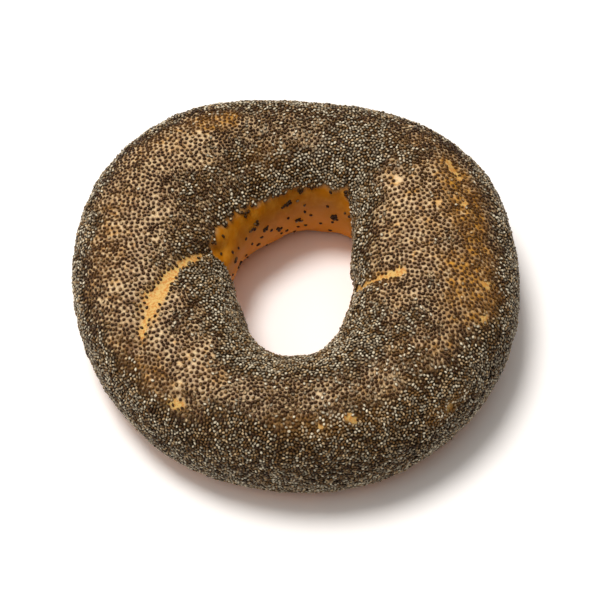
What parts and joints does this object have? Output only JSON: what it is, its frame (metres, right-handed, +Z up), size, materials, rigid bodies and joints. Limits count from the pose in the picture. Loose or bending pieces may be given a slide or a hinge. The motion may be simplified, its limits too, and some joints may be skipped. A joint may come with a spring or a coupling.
{
  "type": "bagel",
  "caption": "Poppy-seed bagel: a hand-rolled ring of bread with a domed seeded crown, an egg-shaped hole and a flat baked underside.",
  "frame": {"origin": "on the surface the bagel rests on, under the middle of its bounding box", "axes": "+Z up through the hole, +X along the longer side of the outline, -Y towards the side where the hole is narrow and long"},
  "size_m": [0.1098, 0.1064, 0.032],
  "materials": {
    "crust": "baked bread crust, golden to brown, semi-matt",
    "poppy_seeds": "blue-grey to dark brown poppy seeds, slightly glossy"
  },
  "bodies": {
    "root": {"bagel": "crust"}
  },
  "joints": []
}
